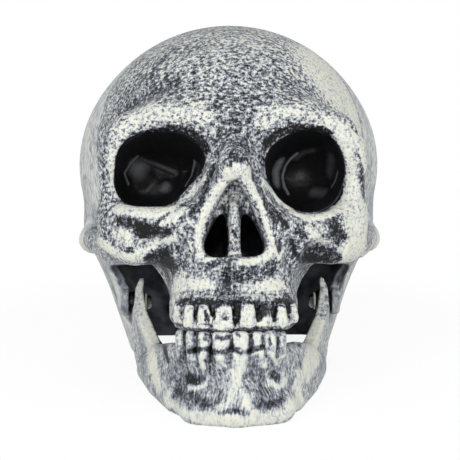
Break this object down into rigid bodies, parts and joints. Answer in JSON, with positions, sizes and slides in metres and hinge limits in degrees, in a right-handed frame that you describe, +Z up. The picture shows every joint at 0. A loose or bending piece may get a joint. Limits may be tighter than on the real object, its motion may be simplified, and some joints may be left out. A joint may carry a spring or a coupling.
{
  "type": "halloween skull decoration",
  "caption": "Near life-size hollow plastic skull with black-lined eye sockets, open nostrils, bared teeth and a lower jaw that drops on a hinge.",
  "frame": {"origin": "centre of the skull's footprint box, on the table that it stands on", "axes": "+Z up, the face looks along -Y, +X is to the right of someone who looks at the face"},
  "size_m": [0.1498, 0.2146, 0.1638],
  "materials": {
    "bone_paint": "black plastic, dry-brushed with off-white paint",
    "socket_black": "glossy black",
    "screw_steel": "zinc plated",
    "washer_nylon": "natural nylon"
  },
  "bodies": {
    "head": {"face_shell": "bone_paint", "rear_shell": "bone_paint", "left_socket_cup": "socket_black", "right_socket_cup": "socket_black", "shell_screw_1": "screw_steel", "shell_screw_2": "screw_steel", "shell_screw_3": "screw_steel", "shell_screw_4": "screw_steel", "left_pivot_screw": "screw_steel", "right_pivot_screw": "screw_steel", "left_pivot_washer": "washer_nylon", "right_pivot_washer": "washer_nylon"},
    "jaw": {"jaw": "bone_paint"}
  },
  "joints": [
    {"name": "jaw_hinge", "type": "hinge", "parent": "head", "child": "jaw", "pos_m": [0, -0.00716, 0.03063], "axis": [1, 0, 0], "range_deg": [0, 20]}
  ]
}
